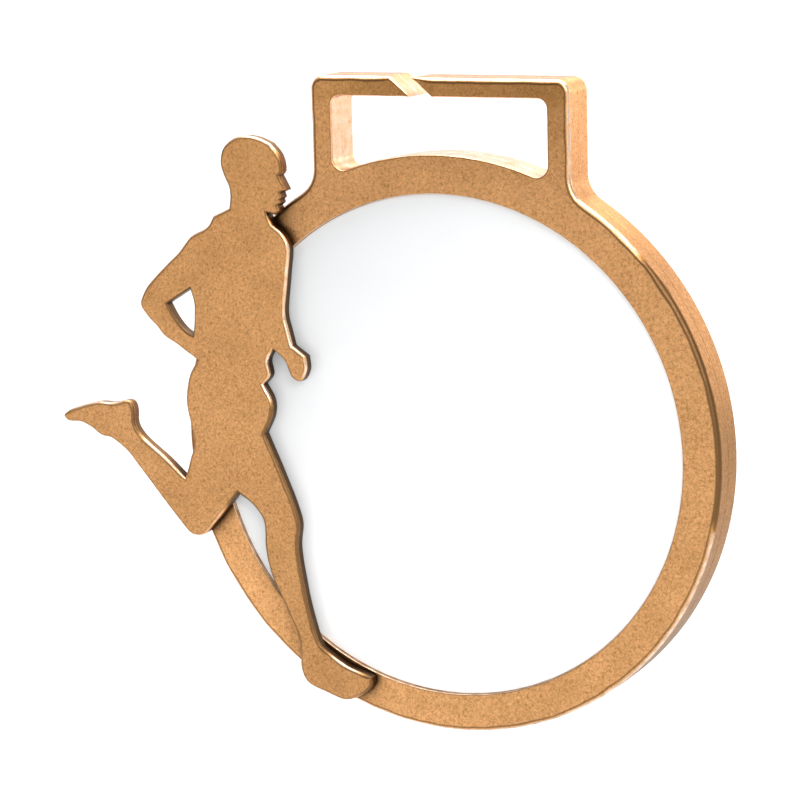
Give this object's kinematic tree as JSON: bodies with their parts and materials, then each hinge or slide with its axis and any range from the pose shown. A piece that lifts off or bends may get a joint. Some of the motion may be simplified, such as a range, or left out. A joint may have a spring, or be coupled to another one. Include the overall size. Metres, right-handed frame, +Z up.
{
  "type": "sports finisher medal",
  "caption": "Round ring medal with a split ribbon loop, a blank disc in the ring and a flat running figure on its front edge.",
  "frame": {"origin": "on the underside of the ribbon bar, in the middle of the slot's width and of the medal's thickness", "axes": "-Y out of the front face, +X to the right as seen from the front, +Z up towards the ribbon bar"},
  "size_m": [0.0774, 0.0063, 0.07],
  "materials": {
    "bronze_casting": "satin bronze plating with a fine mottled grain on a die casting",
    "bronze_plate": "plain satin bronze sheet",
    "white_blank": "glossy white blank",
    "clear_tape": "double-sided tape",
    "pin_metal": "plain drawn pin"
  },
  "bodies": {
    "root": {"ring_frame": "bronze_casting", "runner_figure": "bronze_casting", "insert_disc": "white_blank", "insert_tape": "clear_tape", "back_plate": "bronze_plate", "back_tape": "clear_tape", "figure_pin_shoulder": "pin_metal", "figure_pin_knee": "pin_metal", "figure_pin_foot": "pin_metal"}
  },
  "joints": []
}
